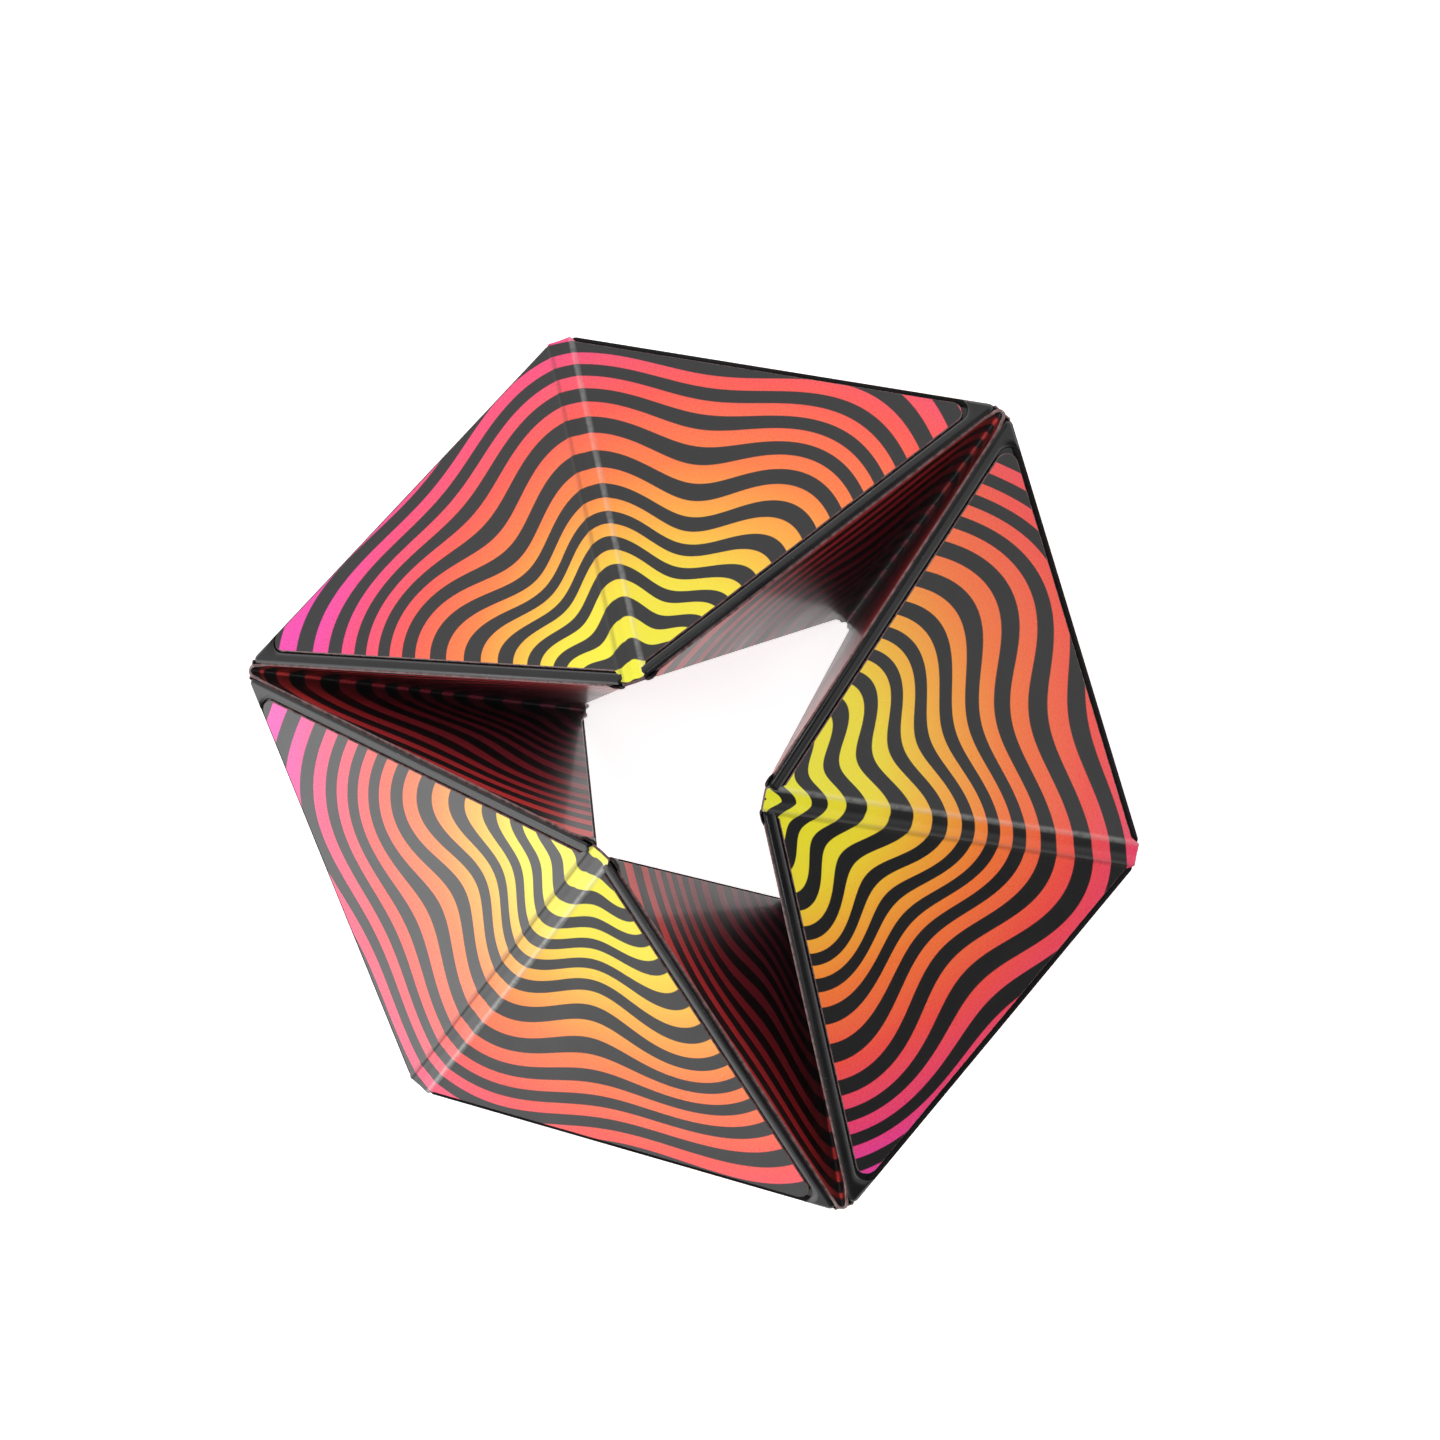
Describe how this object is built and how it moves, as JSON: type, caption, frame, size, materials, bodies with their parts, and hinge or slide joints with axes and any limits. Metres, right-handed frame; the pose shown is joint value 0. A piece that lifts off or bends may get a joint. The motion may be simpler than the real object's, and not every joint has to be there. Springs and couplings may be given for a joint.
{
  "type": "magnetic folding ring puzzle",
  "caption": "Closed ring of hinged, magnet-filled black plastic wedges with striped film faces, which folds through its own centre and turns inside out.",
  "frame": {"origin": "centre of the ring, where its threefold axis meets the plane of the six wedge centres", "axes": "+Z along the threefold axis, towards the three raised inner tips; +Y towards the ridge hinge between wedges 1 and 2"},
  "size_m": [0.0928, 0.1029, 0.0476],
  "materials": {
    "shell": "black moulded plastic, satin to gloss, with half-round rims along the free edges",
    "film": "printed and laminated film: flowing charcoal stripes on a yellow to orange to pink gradient",
    "magnet": "nickel-plated neodymium disc"
  },
  "bodies": {
    "wedge_1": {"wedge_1_shell_upper": "shell", "wedge_1_shell_lower": "shell", "wedge_1_film_top": "film", "wedge_1_film_under": "film", "wedge_1_film_gap": "film", "wedge_1_film_side": "film", "wedge_1_magnet_top": "magnet", "wedge_1_magnet_under": "magnet", "wedge_1_magnet_gap": "magnet", "wedge_1_magnet_side": "magnet"},
    "wedge_2": {"wedge_2_shell_upper": "shell", "wedge_2_shell_lower": "shell", "wedge_2_film_top": "film", "wedge_2_film_under": "film", "wedge_2_film_gap": "film", "wedge_2_film_side": "film", "wedge_2_magnet_top": "magnet", "wedge_2_magnet_under": "magnet", "wedge_2_magnet_gap": "magnet", "wedge_2_magnet_side": "magnet"},
    "wedge_3": {"wedge_3_shell_upper": "shell", "wedge_3_shell_lower": "shell", "wedge_3_film_top": "film", "wedge_3_film_under": "film", "wedge_3_film_gap": "film", "wedge_3_film_side": "film", "wedge_3_magnet_top": "magnet", "wedge_3_magnet_under": "magnet", "wedge_3_magnet_gap": "magnet", "wedge_3_magnet_side": "magnet"},
    "wedge_4": {"wedge_4_shell_upper": "shell", "wedge_4_shell_lower": "shell", "wedge_4_film_top": "film", "wedge_4_film_under": "film", "wedge_4_film_gap": "film", "wedge_4_film_side": "film", "wedge_4_magnet_top": "magnet", "wedge_4_magnet_under": "magnet", "wedge_4_magnet_gap": "magnet", "wedge_4_magnet_side": "magnet"},
    "wedge_5": {"wedge_5_shell_upper": "shell", "wedge_5_shell_lower": "shell", "wedge_5_film_top": "film", "wedge_5_film_under": "film", "wedge_5_film_gap": "film", "wedge_5_film_side": "film", "wedge_5_magnet_top": "magnet", "wedge_5_magnet_under": "magnet", "wedge_5_magnet_gap": "magnet", "wedge_5_magnet_side": "magnet"},
    "wedge_6": {"wedge_6_shell_upper": "shell", "wedge_6_shell_lower": "shell", "wedge_6_film_top": "film", "wedge_6_film_under": "film", "wedge_6_film_gap": "film", "wedge_6_film_side": "film", "wedge_6_magnet_top": "magnet", "wedge_6_magnet_under": "magnet", "wedge_6_magnet_gap": "magnet", "wedge_6_magnet_side": "magnet"}
  },
  "joints": [
    {"name": "ridge_hinge_5_6", "type": "hinge", "parent": "wedge_6", "child": "wedge_5", "pos_m": [-0.027, -0.01559, 0.01165], "axis": [-0.7604, -0.439, -0.4786], "range_deg": [-3, 18]},
    {"name": "valley_hinge_4_5", "type": "hinge", "parent": "wedge_5", "child": "wedge_4", "pos_m": [0, -0.03695, -0.01165], "axis": [0, 0.7369, -0.676], "range_deg": [-10, 1.7]},
    {"name": "ridge_hinge_3_4", "type": "hinge", "parent": "wedge_4", "child": "wedge_3", "pos_m": [0.027, -0.01559, 0.01165], "axis": [0.7604, -0.439, -0.4786], "range_deg": [-2.8, 16.7]},
    {"name": "valley_hinge_6_1", "type": "hinge", "parent": "wedge_6", "child": "wedge_1", "pos_m": [-0.032, 0.01848, -0.01165], "axis": [-0.6382, 0.3685, 0.676], "range_deg": [-10, 1.7]},
    {"name": "ridge_hinge_1_2", "type": "hinge", "parent": "wedge_1", "child": "wedge_2", "pos_m": [0, 0.03117, 0.01165], "axis": [0, -0.878, 0.4786], "range_deg": [-2.8, 16.7]}
  ],
  "couplings": [
    {"joint": "valley_hinge_4_5", "follows": "ridge_hinge_5_6", "ratio": -0.552},
    {"joint": "ridge_hinge_3_4", "follows": "ridge_hinge_5_6", "ratio": 0.921},
    {"joint": "valley_hinge_6_1", "follows": "ridge_hinge_5_6", "ratio": -0.552},
    {"joint": "ridge_hinge_1_2", "follows": "ridge_hinge_5_6", "ratio": 0.921}
  ]
}
